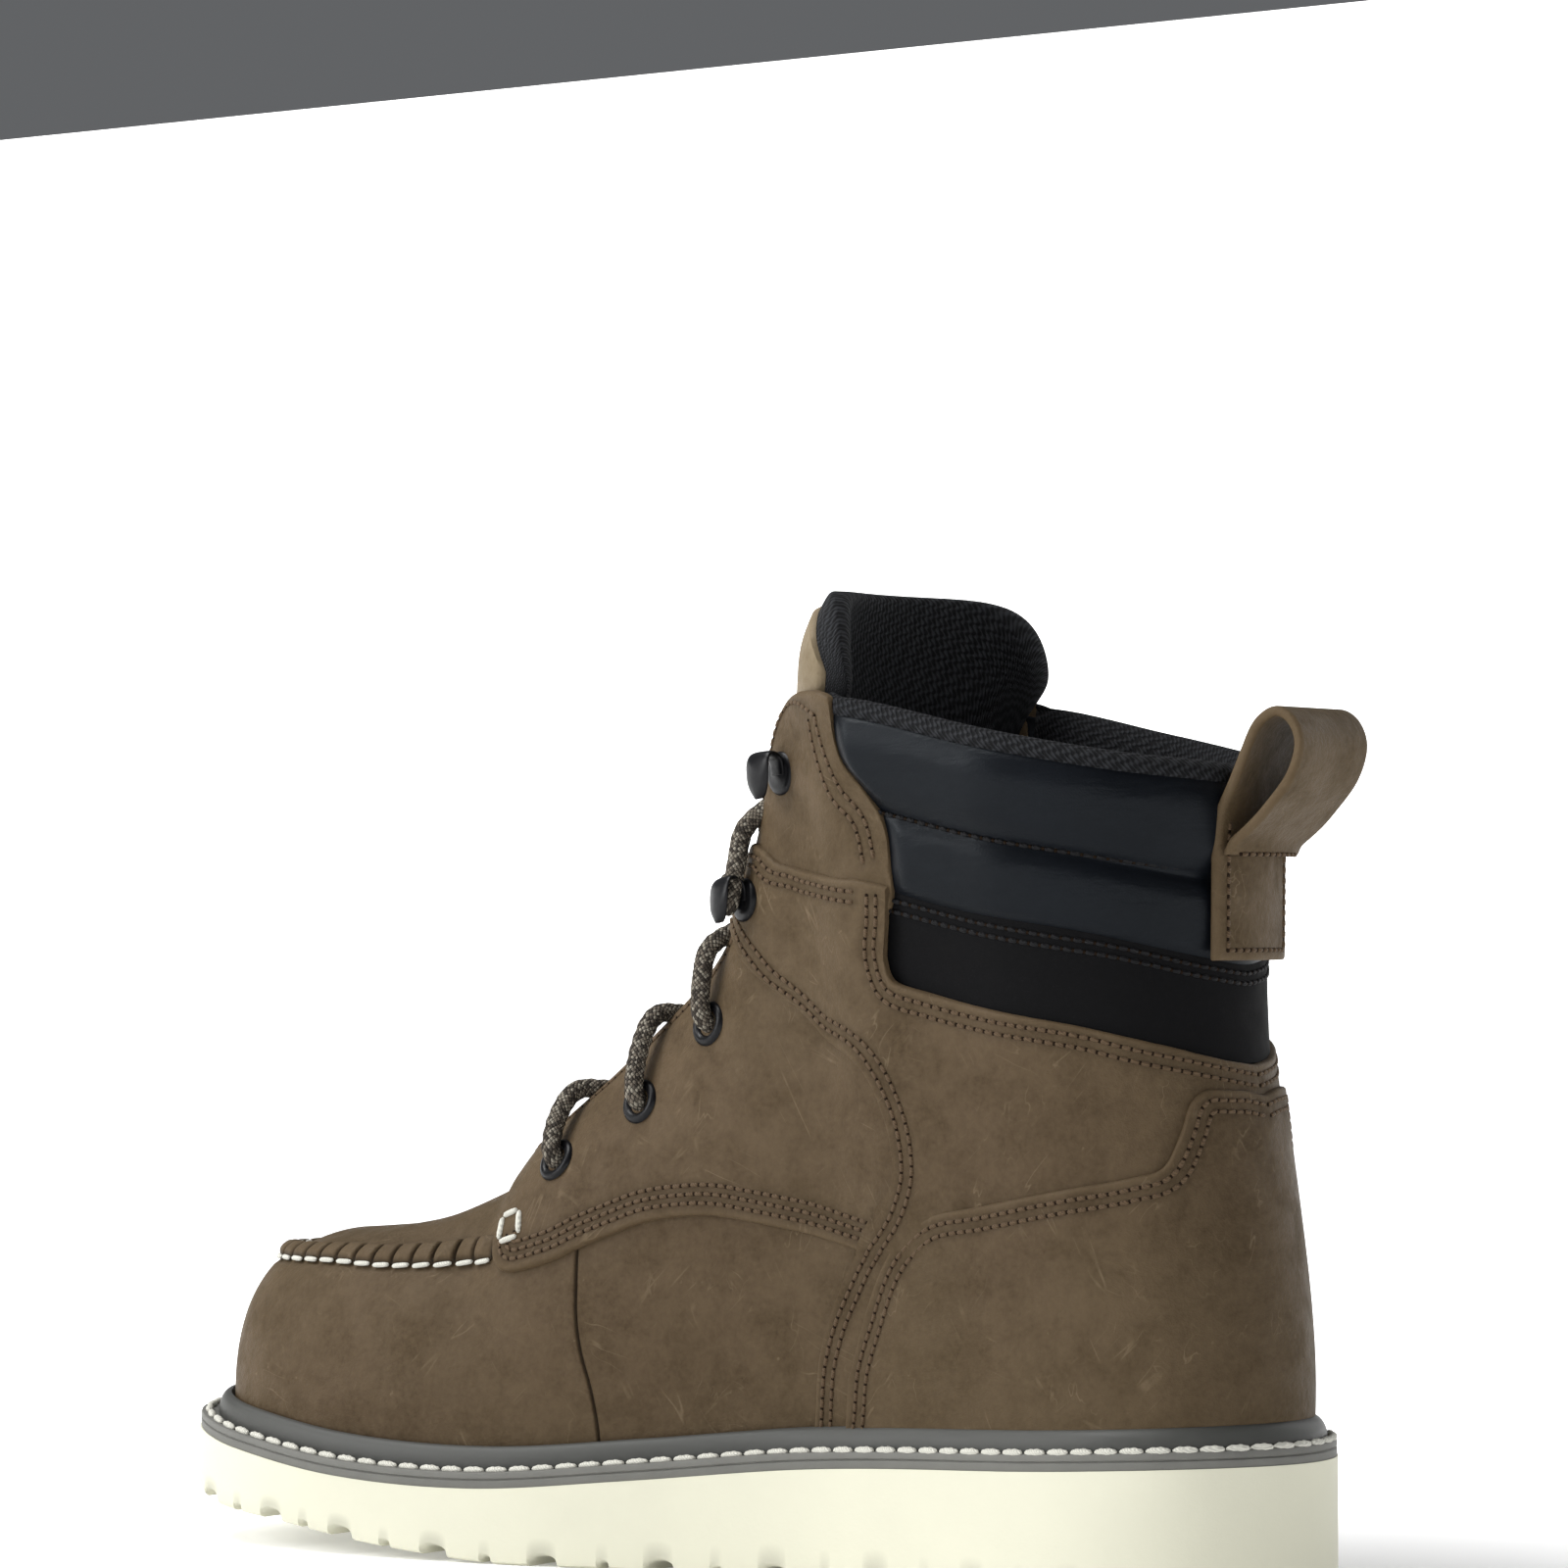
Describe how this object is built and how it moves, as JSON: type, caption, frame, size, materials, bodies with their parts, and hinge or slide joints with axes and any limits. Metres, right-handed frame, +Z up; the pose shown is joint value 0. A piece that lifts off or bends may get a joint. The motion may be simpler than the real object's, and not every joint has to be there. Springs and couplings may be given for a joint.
{
  "type": "work boot",
  "caption": "Mid-height lace-up work boot with a moc toe, padded collar, speed hooks, pull loop and flat wedge sole, right foot.",
  "frame": {"origin": "centre of the boot's box, on the floor", "axes": "+Z up, the toe towards -X, the foot's inner side towards -Y"},
  "size_m": [0.3126, 0.113, 0.2315],
  "materials": {
    "outsole": "smooth cream rubber",
    "welt": "satin dark grey",
    "insole": "matt woven",
    "brown_leather": "oiled nubuck",
    "black_leather": "smooth soft leather",
    "tan_leather": "oiled nubuck, worn lighter",
    "laces": "speckled round braid",
    "enamel": "black enamel"
  },
  "bodies": {
    "root": {"outsole": "outsole", "welt": "welt", "insole": "insole", "upper": "brown_leather", "collar": "black_leather", "tongue": "tan_leather", "pull_loop": "brown_leather", "facing_medial": "brown_leather", "facing_lateral": "brown_leather", "quarter": "brown_leather", "counter": "brown_leather", "laces": "laces", "eyelet_medial_1": "enamel", "eyelet_medial_2": "enamel", "eyelet_medial_3": "enamel", "eyelet_lateral_1": "enamel", "eyelet_lateral_2": "enamel", "eyelet_lateral_3": "enamel", "hook_medial_1": "enamel", "hook_medial_2": "enamel", "hook_lateral_1": "enamel", "hook_lateral_2": "enamel"}
  },
  "joints": []
}
